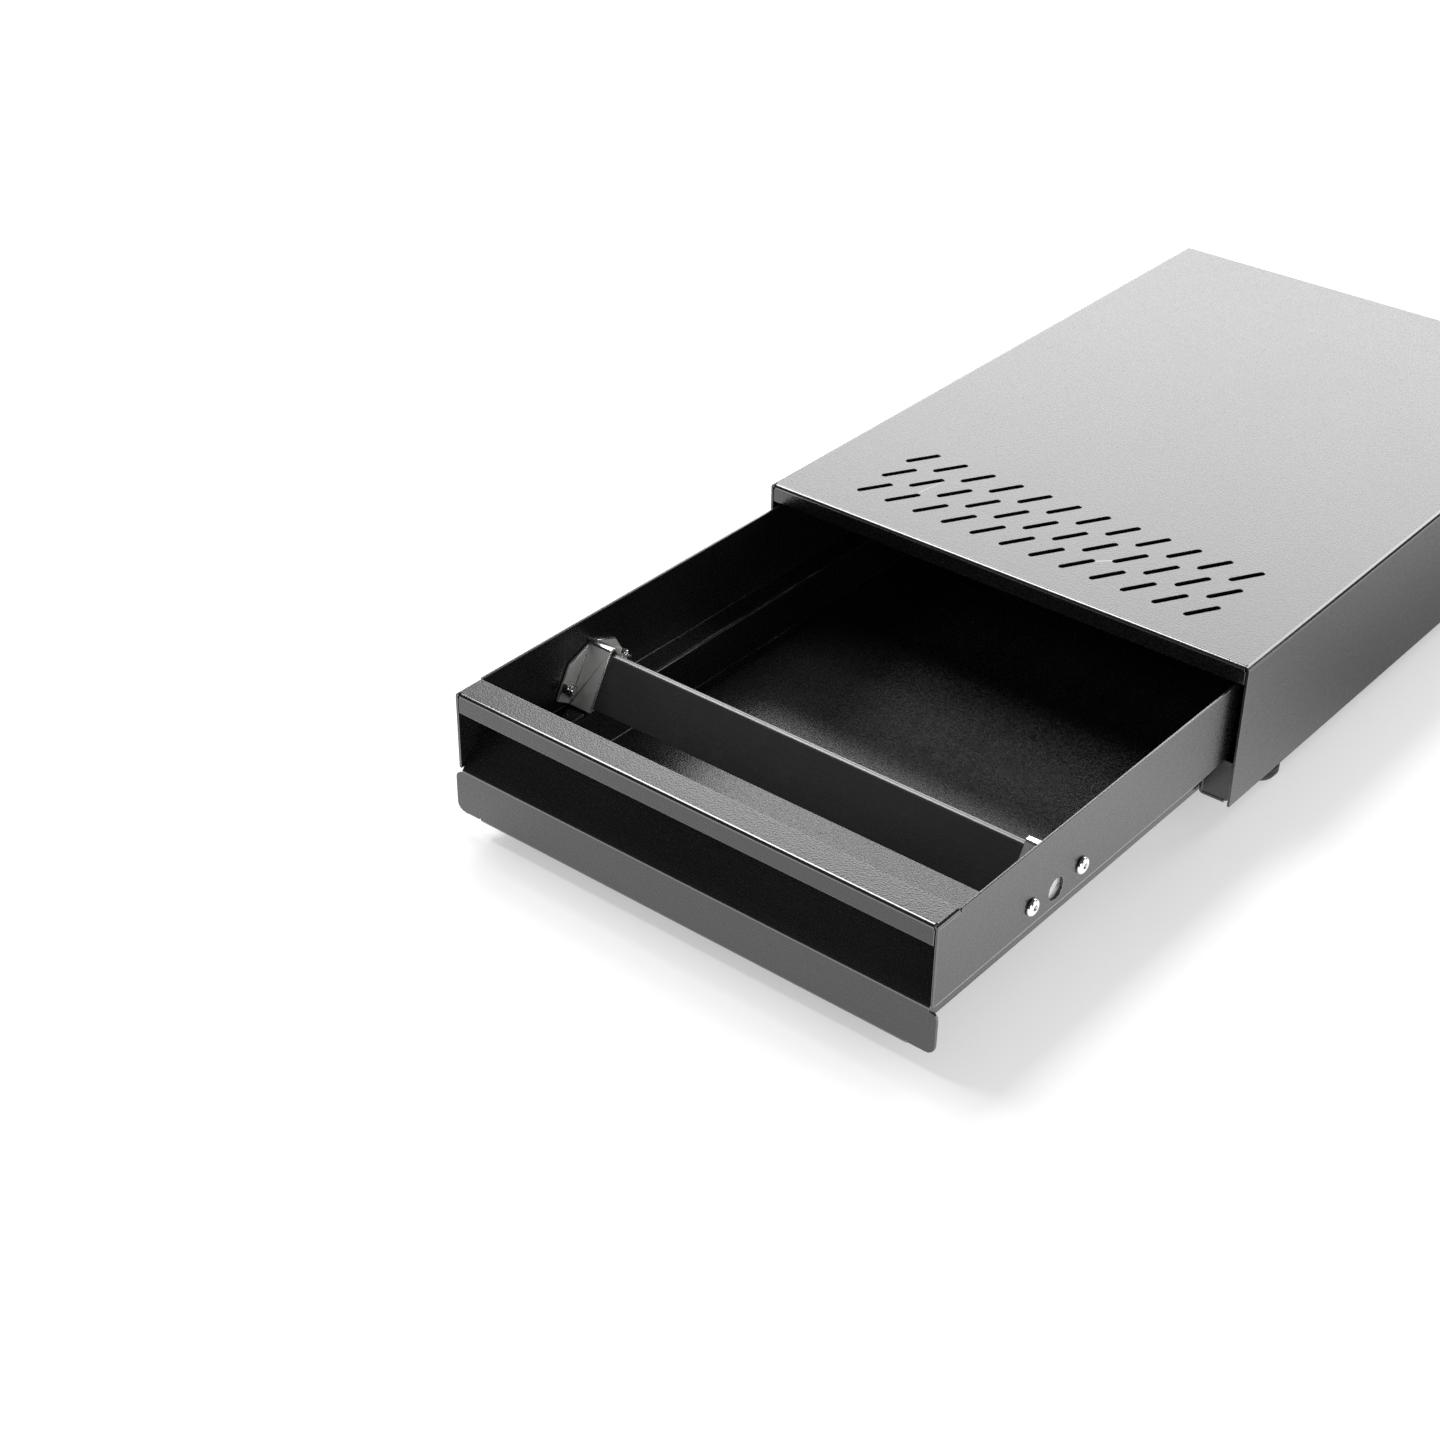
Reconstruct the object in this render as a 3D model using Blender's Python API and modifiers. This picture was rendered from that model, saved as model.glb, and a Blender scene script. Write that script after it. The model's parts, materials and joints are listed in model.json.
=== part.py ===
"""Coffee knock drawer: a sheet-steel case with vent slots, and a drawer with a rubber-covered knock bar.

The origin is on the table, under the middle of the part as it stands with the drawer open.
X runs to the right, Y towards the back and Z up. Lengths are in metres.
"""

import math

import bmesh
import bpy
from mathutils import Matrix, Vector

# Sheet metal and fits
SHEET = 0.0015
FIT_GAP = 0.0003
SLIT = 0.0005
RELIEF = 0.0006
OVERRUN = 0.0020
HALF_SHEET = SHEET / 2

# Case shell
CASE_WIDTH = 0.3000
CASE_HEIGHT = 0.0832
CASE_DEPTH = 0.4500
CASE_BEND = 0.0022
CASE_LIP_HEIGHT = 0.0104
CASE_HALF = CASE_WIDTH / 2
CASE_INNER_HALF = CASE_HALF - SHEET

# Vent slots in the top
SLOT_COLUMNS = 12
SLOT_ROWS = 3
SLOT_LENGTH = 0.0215
SLOT_WIDTH = 0.0034
SLOT_PITCH = 0.01882
SLOT_ROW_PITCH = 0.0230
SLOT_FIRST_ROW = 0.0338
SLOT_ANGLE = math.radians(60)

# Back panel and its buffers
BACK_INSET = 0.0040
BACK_FLANGE = 0.0120
BACK_INNER = CASE_DEPTH - BACK_INSET - SHEET
BUMPER_RADIUS = 0.0080
BUMPER_THICKNESS = 0.0080
BUMPER_EDGE = 0.0020
BUMPER_SPACING = 0.1200
BUMPER_DROP = 0.0266

# Drawer body
LIP_CLEARANCE = 0.0012
SIDE_CLEARANCE = 0.0040
DRAWER_BEND = 0.0020
SIDE_HEIGHT = 0.0463
LEDGE_WIDTH = 0.0142
TUB_DROP = 0.0008
FLANGE_DEPTH = 0.0172
DRAWER_LIP_HEIGHT = 0.01135
RIM_HEIGHT = CASE_HEIGHT - CASE_LIP_HEIGHT - LIP_CLEARANCE
TUB_HEIGHT = RIM_HEIGHT + TUB_DROP
DRAWER_HALF = CASE_INNER_HALF - SIDE_CLEARANCE
WALL_INNER = DRAWER_HALF - SHEET
TUB_HALF = DRAWER_HALF - LEDGE_WIDTH
TUB_INNER = TUB_HALF - SHEET
LEDGE_TOP = SHEET - SIDE_HEIGHT
TUB_FLOOR = SHEET - TUB_HEIGHT
DRAWER_LENGTH = BACK_INNER - BUMPER_THICKNESS - 2 * FIT_GAP
INNER_BEND = DRAWER_BEND - SHEET

# Slide
REST_OPENING = 0.2550
MOST_OPENING = 0.2750

# Lower front panel with its finger recess
PANEL_RISE = 0.0008
EAR_REACH = 0.0025
EAR_DROP = 0.0013
EAR_LIFT = 0.0017
EAR_TOP_RADIUS = 0.0030
EAR_BOTTOM_RADIUS = 0.0050
PANEL_BEND = 0.0020
PANEL_HEM = 0.0080
PANEL_HEM_OVERLAP = 0.0010
PANEL_NOTCH = 0.0008
RECESS_REACH = 0.0300
RECESS_ANGLE = math.radians(45)
RECESS_HALF = WALL_INNER - FIT_GAP
PANEL_TOP = PANEL_RISE - SIDE_HEIGHT
EAR_TOP = -SIDE_HEIGHT - EAR_DROP

# Drawer back with its stop tab
DRAWER_BACK_FLANGE = 0.0100
STOP_TAB_WIDTH = 0.0600
STOP_TAB_HEIGHT = 0.0064
BACK_CORNER = 0.0010

# Travel stop under the top
TRAVEL_STOP_WIDTH = 0.1000
TRAVEL_STOP_BASE = 0.0150
TRAVEL_STOP_DROP = 0.0067

# Guide rails
RAIL_CLEARANCE = 0.0007
RAIL_SETBACK = 0.0020
RAIL_PLATE_SETBACK = 0.0005
RAIL_BEND = 0.0020
RAIL_FOOT_FLANGE = 0.0145
RAIL_PLATE_CORNER = 0.0030
RAIL_INNER = TUB_HALF + RAIL_CLEARANCE
RAIL_OUTER = CASE_INNER_HALF - FIT_GAP
RAIL_HEIGHT = RIM_HEIGHT - SIDE_HEIGHT - FIT_GAP
RAIL_END = BACK_INNER - FIT_GAP
BACK_SCREW_HEIGHT = RAIL_HEIGHT / 2

# Knock bar: a rounded inverted V, steel inside and rubber outside
BAR_CENTRE = 0.0970
V_HALF_ANGLE = math.radians(30)
BAR_LIFT = 0.0024
BAR_GAP = 0.0003
BAR_RADIUS = 0.0028
SLEEVE_THICKNESS = 0.0040
SLEEVE_LIP_HEIGHT = 0.0020
SLEEVE_LIP_REACH = 0.0050
CORE_SHEET = 0.0020
CORE_RADIUS = 0.0030

# Brackets at the ends of the bar
HOOD_RISE = 0.0316
HOOD_RADIUS = 0.0030
HOOD_REACH = 0.0157
EAR_WIDTH = 0.0103
EAR_RISE = 0.0244
BRACKET_CHAMFER_ANGLE = math.radians(21)
BRACKET_SCREW_SPACING = 0.0420
BRACKET_SCREW_RISE = 0.0118
SIDE_HOLE_RADIUS = 0.0060
SIDE_HOLE_RISE = 0.0098
HOOD_TOP = LEDGE_TOP + HOOD_RISE
BRACKET_EAR_TOP = LEDGE_TOP + EAR_RISE
BRACKET_SCREW_HEIGHT = LEDGE_TOP + BRACKET_SCREW_RISE
SIDE_HOLE_HEIGHT = LEDGE_TOP + SIDE_HOLE_RISE

# Screws and nuts
SHANK_RADIUS = 0.0025
SHANK_CHAMFER = 0.0004
SCREW_HOLE = SHANK_RADIUS + FIT_GAP
HEAD_RADIUS = 0.0045
HEAD_HEIGHT = 0.0021
HEAD_FLAT = 0.0025
HEAD_EDGE = 0.0003
SOCKET_WIDTH = 0.0030
SOCKET_DEPTH = 0.0013
NUT_WIDTH = 0.0080
NUT_HEX_HEIGHT = 0.0034
NUT_HEIGHT = 0.0046
NUT_CHAMFER = 0.0005
NUT_COLLAR_RADIUS = 0.0035
NUT_COLLAR_EDGE = 0.0006
SCREW_TAIL = 0.0008

# Feet
FOOT_HEIGHT = 0.0095
FOOT_RADIUS = 0.0115
FOOT_INSET = 0.0120
FOOT_FRONT = 0.0520
FOOT_BOSS_RADIUS = 0.0065
FOOT_CLEARANCE = 0.0010
FOOT_EDGE = 0.0005
FOOT_TAPER_HEIGHT = 0.0030
FOOT_TAPER = 0.0020
FOOT_BORE_RADIUS = 0.0055
FOOT_WEB = 0.0045
FOOT_X = CASE_HALF - FOOT_INSET
FOOT_BOSS_HEIGHT = TUB_DROP + FOOT_CLEARANCE

# Where the two frames stand
ROW_SHIFT = (REST_OPENING - CASE_DEPTH) / 2

# Smoothness of round shapes
BEND_STEPS = 4
HOLE_STEPS = 24
TURN_STEPS = 28
SCREW_STEPS = 20
SLOT_END_STEPS = 6
HEAD_STEPS = 4
HEX_SIDES = 6
WELD = 0.000001
SMOOTH_ANGLE = math.radians(35)
QUARTER = math.pi / 2

POWDER_BLACK = ((0.020, 0.020, 0.021), 0.42, 0.0)
SATIN_STEEL = ((0.62, 0.62, 0.61), 0.24, 1.0)
SCREW_STEEL = ((0.66, 0.65, 0.63), 0.20, 1.0)
GALVANISED = ((0.50, 0.51, 0.52), 0.38, 1.0)
BLACK_RUBBER = ((0.016, 0.016, 0.016), 0.62, 0.0)


def clear_scene():
    for obj in list(bpy.data.objects):
        bpy.data.objects.remove(obj, do_unlink=True)


def new_collection(name, hidden=False):
    collection = bpy.data.collections.new(name)
    bpy.context.scene.collection.children.link(collection)
    collection.hide_render = hidden
    return collection


def lift(axis, u, v, w):
    """The point that lies w along the axis and (u, v) along the two others, in their order."""
    return {"X": Vector((w, u, v)), "Y": Vector((u, w, v)), "Z": Vector((u, v, w))}[axis]


def fillet(corners, closed=False):
    """The points of a path through corners (u, v, radius), each rounded by an arc of that radius."""
    points = []
    count = len(corners)
    for i, (u, v, radius) in enumerate(corners):
        here = Vector((u, v))
        if not radius or (not closed and i in (0, count - 1)):
            points.append(here)
            continue
        before = (Vector(corners[i - 1][:2]) - here).normalized()
        after = (Vector(corners[(i + 1) % count][:2]) - here).normalized()
        half = before.angle(after) / 2
        centre = here + (before + after).normalized() * radius / math.sin(half)
        start = here + before * radius / math.tan(half) - centre
        turn = math.copysign(math.pi - 2 * half, before.y * after.x - before.x * after.y)
        steps = max(2, math.ceil(BEND_STEPS * abs(turn) / QUARTER))
        for step in range(steps + 1):
            points.append(centre + Matrix.Rotation(turn * step / steps, 2) @ start)
    return points


def circle(u, v, radius, steps=HOLE_STEPS):
    angles = [2 * math.pi * step / steps for step in range(steps)]
    return [Vector((u + radius * math.cos(a), v + radius * math.sin(a))) for a in angles]


def keep(name, data, collection, parent, location=(0, 0, 0), rotation=(0, 0, 0)):
    """Adds an object to its collection, on the frame that carries it."""
    obj = bpy.data.objects.new(name, data)
    collection.objects.link(obj)
    obj.parent = parent
    obj.location = location
    obj.rotation_euler = rotation
    if collection == CUTTERS:
        obj.hide_render = True
        obj.display_type = "WIRE"
    return obj


def finish(obj, look):
    """Gives an object a material of its own, from a look (colour, roughness, metallic)."""
    colour, roughness, metallic = look
    material = bpy.data.materials.new(obj.name)
    material.use_nodes = True
    shader = material.node_tree.nodes["Principled BSDF"]
    shader.inputs["Base Color"].default_value = (*colour, 1)
    shader.inputs["Roughness"].default_value = roughness
    shader.inputs["Metallic"].default_value = metallic
    obj.data.materials.clear()
    obj.data.materials.append(material)
    return obj


def smooth(mesh):
    mesh.shade_smooth()
    mesh.set_sharp_from_angle(angle=SMOOTH_ANGLE)


def evaluated_mesh(obj):
    """A mesh of the object as its modifiers leave it."""
    bpy.context.view_layer.update()
    graph = bpy.context.evaluated_depsgraph_get()
    return bpy.data.meshes.new_from_object(obj.evaluated_get(graph))


def modify(obj, kind, **settings):
    modifier = obj.modifiers.new(kind.title(), kind)
    for key, value in settings.items():
        setattr(modifier, key, value)
    return modifier


def combine(obj, operation, *others):
    for other in others:
        modify(obj, "BOOLEAN", operation=operation, solver="EXACT", object=other)


def sweep(bm, edges, steps):
    """Extrudes the edges by each step in turn and returns the last row of edges."""
    for step in steps:
        made = bmesh.ops.extrude_edge_only(bm, edges=edges)["geom"]
        verts = {item for item in made if isinstance(item, bmesh.types.BMVert)}
        links = [item for item in made if isinstance(item, bmesh.types.BMEdge)]
        edges = [link for link in links if verts.issuperset(link.verts)]
        bmesh.ops.translate(bm, verts=list(verts), vec=step)
    return edges


def draw_path(bm, axis, points, along, closed=False):
    """Adds a path at one place along the axis and returns its edges in order."""
    verts = [bm.verts.new(lift(axis, u, v, along)) for u, v in points]
    pairs = list(zip(verts, verts[1:]))
    if closed:
        pairs.append((verts[-1], verts[0]))
    return [bm.edges.new(pair) for pair in pairs]


def sheet(name, bm, thickness, outside, collection, parent):
    """Makes a folded sheet from its outer surface, which faces outside where it reaches farthest."""
    bmesh.ops.recalc_face_normals(bm, faces=bm.faces)
    farthest = max(bm.faces, key=lambda face: face.calc_center_median().dot(outside))
    if farthest.normal.dot(outside) < 0:
        bmesh.ops.reverse_faces(bm, faces=bm.faces)
    mesh = bpy.data.meshes.new(name)
    bm.to_mesh(mesh)
    bm.free()
    obj = keep(name, mesh, collection, parent)
    modify(obj, "SOLIDIFY", thickness=thickness, offset=-1, use_even_offset=True)
    return obj


def strip(name, axis, points, low, high, thickness, outside, collection, parent):
    """Makes a sheet that has the same section all along its axis."""
    bm = bmesh.new()
    edges = draw_path(bm, axis, points, low)
    sweep(bm, edges, [lift(axis, 0, 0, high - low)])
    return sheet(name, bm, thickness, outside, collection, parent)


def plate(name, axis, loops, low, high, collection, parent):
    """Makes a flat plate from closed outlines, between two places along its axis."""
    curve = bpy.data.curves.new(name, "CURVE")
    curve.dimensions = "2D"
    curve.fill_mode = "BOTH"
    curve.extrude = (high - low) / 2
    for loop in loops:
        spline = curve.splines.new("POLY")
        spline.points.add(len(loop) - 1)
        spline.use_cyclic_u = True
        for point, (u, v) in zip(spline.points, loop):
            point.co = (u, v, 0, 1)
    guide = bpy.data.objects.new(name, curve)
    collection.objects.link(guide)
    along_u, along_v = lift(axis, 1, 0, 0), lift(axis, 0, 1, 0)
    turn = Matrix((along_u, along_v, along_u.cross(along_v))).transposed().to_4x4()
    guide.matrix_world = Matrix.Translation(lift(axis, 0, 0, (low + high) / 2)) @ turn
    mesh = evaluated_mesh(guide)
    bm = bmesh.new()
    bm.from_mesh(mesh)
    bmesh.ops.remove_doubles(bm, verts=bm.verts, dist=WELD)
    bm.to_mesh(mesh)
    bm.free()
    place = guide.matrix_world.copy()
    bpy.data.objects.remove(guide)
    obj = keep(name, mesh, collection, parent)
    obj.matrix_local = place
    return obj


def box(name, low, high, collection, parent):
    """Makes a block between two corners."""
    low, high = Vector(low), Vector(high)
    bm = bmesh.new()
    bmesh.ops.create_cube(bm, size=1)
    bmesh.ops.scale(bm, verts=bm.verts, vec=high - low)
    mesh = bpy.data.meshes.new(name)
    bm.to_mesh(mesh)
    bm.free()
    return keep(name, mesh, collection, parent, location=(low + high) / 2)


def rod(name, axis, u, v, radius, low, high, parent, steps=HOLE_STEPS, spin=0):
    """Makes a round or many-sided cutter along an axis, with its corners spun about it."""
    bm = bmesh.new()
    bmesh.ops.create_cone(
        bm,
        cap_ends=True,
        segments=steps,
        radius1=radius,
        radius2=radius,
        depth=high - low,
        matrix=Matrix.Rotation(spin, 4, "Z"),
    )
    mesh = bpy.data.meshes.new(name)
    bm.to_mesh(mesh)
    bm.free()
    turns = {"X": (0, QUARTER, 0), "Y": (QUARTER, 0, 0), "Z": (0, 0, 0)}
    return keep(name, mesh, CUTTERS, parent, lift(axis, u, v, (low + high) / 2), turns[axis])


def turned(name, profile, collection, parent, closed=False, steps=TURN_STEPS):
    """Makes a turned piece from its profile (radius, height), drawn down the outer side."""
    bm = bmesh.new()
    draw_path(bm, "Y", profile, 0, closed)
    mesh = bpy.data.meshes.new(name)
    bm.to_mesh(mesh)
    bm.free()
    obj = keep(name, mesh, collection, parent)
    modify(
        obj,
        "SCREW",
        axis="Z",
        steps=steps,
        render_steps=steps,
        use_merge_vertices=True,
        merge_threshold=WELD,
    )
    return obj


def fold_lip(bm, edge, radius, height, widening):
    """Folds a front edge forward and down into a lip, whose straight part is widened at both ends."""
    angles = [QUARTER * step / BEND_STEPS for step in range(BEND_STEPS + 1)]
    bend = [Vector((0, -radius * math.sin(a), radius * (math.cos(a) - 1))) for a in angles]
    steps = [after - before for before, after in zip(bend, bend[1:])]
    straight = height - radius - RELIEF
    drops = [Vector((0, 0, -RELIEF)), Vector((0, 0, -straight))]
    (bottom,) = sweep(bm, [edge], [Vector((0, -RELIEF, 0)), *steps, *drops])
    for corner in bottom.verts:
        (side,) = [link for link in corner.link_edges if link != bottom]
        sweep(bm, [side], [Vector((math.copysign(widening, corner.co.x), 0, 0))])


def case_shell():
    """Top and sides from one sheet, with the front of the top folded down into a lip."""
    bm = bmesh.new()
    lip_half = CASE_HALF - CASE_BEND - SLIT
    section = fillet(
        [
            (-CASE_HALF, 0, 0),
            (-CASE_HALF, CASE_HEIGHT, CASE_BEND),
            (-lip_half, CASE_HEIGHT, 0),
            (lip_half, CASE_HEIGHT, 0),
            (CASE_HALF, CASE_HEIGHT, CASE_BEND),
            (CASE_HALF, 0, 0),
        ]
    )
    start = CASE_BEND + RELIEF
    edges = draw_path(bm, "Y", section, start)
    middle = len(edges) // 2
    sweep(bm, edges, [Vector((0, CASE_DEPTH - start, 0))])
    sweep(bm, edges[: middle - 1], [Vector((0, -start, 0))])
    sweep(bm, edges[middle + 2 :], [Vector((0, -start, 0))])
    fold_lip(bm, edges[middle], CASE_BEND, CASE_LIP_HEIGHT, CASE_INNER_HALF - SLIT - lip_half)
    shell = sheet("case_shell", bm, SHEET, Vector((0, 0, 1)), PARTS, CASE)
    combine(shell, "DIFFERENCE", slot_cutter())
    return finish(shell, POWDER_BLACK)


def slot_cutter():
    """One cutter for all vent slots: slanted slots with round ends, in rows across the front of the top."""
    radius = SLOT_WIDTH / 2
    lean = Vector((math.cos(SLOT_ANGLE), math.sin(SLOT_ANGLE)))
    loops = []
    for row in range(SLOT_ROWS):
        for column in range(SLOT_COLUMNS):
            x = (column - (SLOT_COLUMNS - 1) / 2) * SLOT_PITCH
            centre = Vector((x, SLOT_FIRST_ROW + row * SLOT_ROW_PITCH))
            loop = []
            for end in (1, -1):
                middle = centre + lean * end * (SLOT_LENGTH / 2 - radius)
                for step in range(SLOT_END_STEPS + 1):
                    turn = QUARTER * (2 * step / SLOT_END_STEPS - 1)
                    loop.append(middle + Matrix.Rotation(turn, 2) @ lean * end * radius)
            loops.append(loop)
    low = CASE_HEIGHT - SHEET - OVERRUN
    return plate("slot_cutter", "Z", loops, low, CASE_HEIGHT + OVERRUN, CUTTERS, CASE)


def back_panel():
    """Closes the back, inside the shell, with a flange under the top and a screw into each rail."""
    outer = CASE_DEPTH - BACK_INSET
    top = CASE_HEIGHT - SHEET - FIT_GAP
    section = fillet([(outer - BACK_FLANGE, top, 0), (outer, top, CASE_BEND), (outer, 0, 0)])
    panel = strip(
        "back_panel", "X", section, -RAIL_OUTER, RAIL_OUTER, SHEET, Vector((0, 1, 0)), PARTS, CASE
    )
    for side, word in ((-1, "left"), (1, "right")):
        low = BACK_INNER - OVERRUN
        name = f"back_hole_{word}_cutter"
        hole = rod(name, "Y", side * FOOT_X, BACK_SCREW_HEIGHT, SCREW_HOLE, low, CASE_DEPTH, CASE)
        combine(panel, "DIFFERENCE", hole)
    return finish(panel, POWDER_BLACK)


def rail(side, word):
    """A folded channel, open towards the side of the case, with an end plate at each end."""
    front = RAIL_SETBACK
    section = fillet(
        [
            (side * RAIL_OUTER, RAIL_HEIGHT, 0),
            (side * RAIL_INNER, RAIL_HEIGHT, RAIL_BEND),
            (side * RAIL_INNER, 0, RAIL_BEND),
            (side * (RAIL_INNER + RAIL_FOOT_FLANGE), 0, 0),
        ]
    )
    outside = Vector((-side, 0, 0))
    channel = strip(f"rail_{word}", "Y", section, front, RAIL_END, SHEET, outside, PARTS, CASE)
    inner = side * (RAIL_INNER + HALF_SHEET)
    outline = fillet(
        [
            (inner, HALF_SHEET, 0),
            (side * RAIL_OUTER, HALF_SHEET, RAIL_PLATE_CORNER),
            (side * RAIL_OUTER, RAIL_HEIGHT - HALF_SHEET, 0),
            (inner, RAIL_HEIGHT - HALF_SHEET, 0),
        ],
        closed=True,
    )
    for end, low in (
        ("front", front + RAIL_PLATE_SETBACK),
        ("rear", RAIL_END - RAIL_PLATE_SETBACK - SHEET),
    ):
        end_plate = plate(f"rail_{word}_{end}_plate", "Y", [outline], low, low + SHEET, CUTTERS, CASE)
        combine(channel, "UNION", end_plate)
    for end, y in FOOT_PLACES:
        name = f"foot_hole_{end}_{word}_cutter"
        hole = rod(name, "Z", side * FOOT_X, y, SCREW_HOLE, -OVERRUN, SHEET + OVERRUN, CASE)
        combine(channel, "DIFFERENCE", hole)
    low = RAIL_END - RAIL_PLATE_SETBACK - SHEET - OVERRUN
    name = f"rail_{word}_back_hole_cutter"
    hole = rod(name, "Y", side * FOOT_X, BACK_SCREW_HEIGHT, SCREW_HOLE, low, RAIL_END + OVERRUN, CASE)
    combine(channel, "DIFFERENCE", hole)
    return finish(channel, POWDER_BLACK)


def travel_stop():
    """An angle under the top, which the tab on the drawer's back meets when the drawer is fully out."""
    rear = DRAWER_LENGTH - SHEET - MOST_OPENING - FIT_GAP
    top = CASE_HEIGHT - SHEET - FIT_GAP
    bottom = CASE_HEIGHT - SHEET - TRAVEL_STOP_DROP
    section = fillet(
        [(rear - TRAVEL_STOP_BASE, top, 0), (rear, top, CASE_BEND), (rear, bottom, 0)]
    )
    half = TRAVEL_STOP_WIDTH / 2
    stop = strip("travel_stop", "X", section, -half, half, SHEET, Vector((0, 1, 0)), PARTS, CASE)
    return finish(stop, POWDER_BLACK)


def back_bumpers():
    """Round rubber buffers on the back panel."""
    profile = [
        Vector(point)
        for point in (
            (0, BUMPER_THICKNESS),
            (BUMPER_RADIUS - BUMPER_EDGE, BUMPER_THICKNESS),
            (BUMPER_RADIUS, BUMPER_THICKNESS - BUMPER_EDGE),
            (BUMPER_RADIUS, 0),
            (0, 0),
        )
    ]
    for side, word in ((-1, "left"), (1, "right")):
        bumper = turned(f"back_bumper_{word}", profile, PARTS, CASE)
        height = RIM_HEIGHT - BUMPER_DROP
        bumper.location = (side * BUMPER_SPACING / 2, BACK_INNER - FIT_GAP, height)
        bumper.rotation_euler = (QUARTER, 0, 0)
        smooth(bumper.data)
        finish(bumper, BLACK_RUBBER)


def feet():
    """Round rubber feet, each with a boss under the rail and a deep bore for its screw."""
    bottom = FIT_GAP - FOOT_HEIGHT
    wide = FOOT_RADIUS
    profile = [
        Vector(point)
        for point in (
            (FOOT_BOSS_RADIUS, 0),
            (FOOT_BOSS_RADIUS, -FOOT_BOSS_HEIGHT),
            (wide - FOOT_EDGE, -FOOT_BOSS_HEIGHT),
            (wide, -FOOT_BOSS_HEIGHT - FOOT_EDGE),
            (wide, bottom + FOOT_TAPER_HEIGHT),
            (wide - FOOT_TAPER, bottom),
            (FOOT_BORE_RADIUS, bottom),
            (FOOT_BORE_RADIUS, -FOOT_WEB),
            (SCREW_HOLE, -FOOT_WEB),
            (SCREW_HOLE, 0),
        )
    ]
    grip = FIT_GAP + FOOT_WEB + FIT_GAP + SHEET
    screw = screw_mesh("foot_screw", grip + FIT_GAP + NUT_HEIGHT + SCREW_TAIL)
    nut = nut_mesh("foot_nut")
    for end, y in FOOT_PLACES:
        for side, word in ((-1, "left"), (1, "right")):
            x = side * FOOT_X
            foot = turned(f"foot_{end}_{word}", profile, PARTS, CASE, closed=True)
            foot.location = (x, y, -FIT_GAP)
            smooth(foot.data)
            finish(foot, BLACK_RUBBER)
            place = (x, y, SHEET - grip)
            bolt = keep(f"foot_screw_{end}_{word}", screw.copy(), PARTS, CASE, place, (math.pi, 0, 0))
            finish(bolt, GALVANISED)
            place = (x, y, SHEET + FIT_GAP)
            finish(keep(f"foot_nut_{end}_{word}", nut.copy(), PARTS, CASE, place), GALVANISED)


def screw_mesh(name, length):
    """A button-head screw with a hexagon socket: its head stands on the origin and its shank hangs below."""
    angles = [QUARTER * step / HEAD_STEPS for step in range(HEAD_STEPS + 1)]
    across, rise = HEAD_RADIUS - HEAD_FLAT, HEAD_HEIGHT - HEAD_EDGE
    dome = [(HEAD_FLAT + across * math.sin(a), HEAD_EDGE + rise * math.cos(a)) for a in angles]
    shank = [
        (HEAD_RADIUS, 0),
        (SHANK_RADIUS, 0),
        (SHANK_RADIUS, SHANK_CHAMFER - length),
        (SHANK_RADIUS - SHANK_CHAMFER, -length),
        (0, -length),
    ]
    profile = [Vector(point) for point in [(0, HEAD_HEIGHT), *dome, *shank]]
    guide = turned(f"{name}_guide", profile, CUTTERS, None, steps=SCREW_STEPS)
    socket_radius = SOCKET_WIDTH / 2 / math.cos(math.pi / HEX_SIDES)
    low, high = HEAD_HEIGHT - SOCKET_DEPTH, HEAD_HEIGHT + OVERRUN
    socket = rod(f"{name}_socket_cutter", "Z", 0, 0, socket_radius, low, high, None, HEX_SIDES)
    combine(guide, "DIFFERENCE", socket)
    mesh = evaluated_mesh(guide)
    smooth(mesh)
    return mesh


def nut_mesh(name):
    """A lock nut: a hexagon with chamfered corners and a round collar, standing on the origin."""
    corner = NUT_WIDTH / 2 / math.cos(math.pi / HEX_SIDES)
    profile = [
        Vector(point)
        for point in (
            (NUT_COLLAR_RADIUS - NUT_COLLAR_EDGE, NUT_HEIGHT),
            (NUT_COLLAR_RADIUS, NUT_HEIGHT - NUT_COLLAR_EDGE),
            (NUT_COLLAR_RADIUS, NUT_HEX_HEIGHT),
            (NUT_WIDTH / 2, NUT_HEX_HEIGHT),
            (corner, NUT_HEX_HEIGHT - NUT_CHAMFER),
            (corner, 0),
            (SCREW_HOLE, 0),
            (SCREW_HOLE, NUT_HEIGHT),
        )
    ]
    guide = turned(f"{name}_guide", profile, CUTTERS, None, closed=True, steps=SCREW_STEPS)
    hexagon = rod(f"{name}_hexagon_guide", "Z", 0, 0, corner, -OVERRUN, NUT_HEIGHT + OVERRUN, None, HEX_SIDES)
    combine(guide, "INTERSECT", hexagon)
    mesh = evaluated_mesh(guide)
    smooth(mesh)
    return mesh


def back_screws():
    """Screws that hold the back panel to the rails' rear plates."""
    mesh = screw_mesh("back_screw", BACK_INSET - HEAD_HEIGHT + SHEET + FIT_GAP + SHEET + SCREW_TAIL)
    for side, word in ((-1, "left"), (1, "right")):
        place = (side * FOOT_X, CASE_DEPTH - BACK_INSET + FIT_GAP, BACK_SCREW_HEIGHT)
        bolt = keep(f"back_screw_{word}", mesh.copy(), PARTS, CASE, place, (-QUARTER, 0, 0))
        finish(bolt, GALVANISED)


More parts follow.
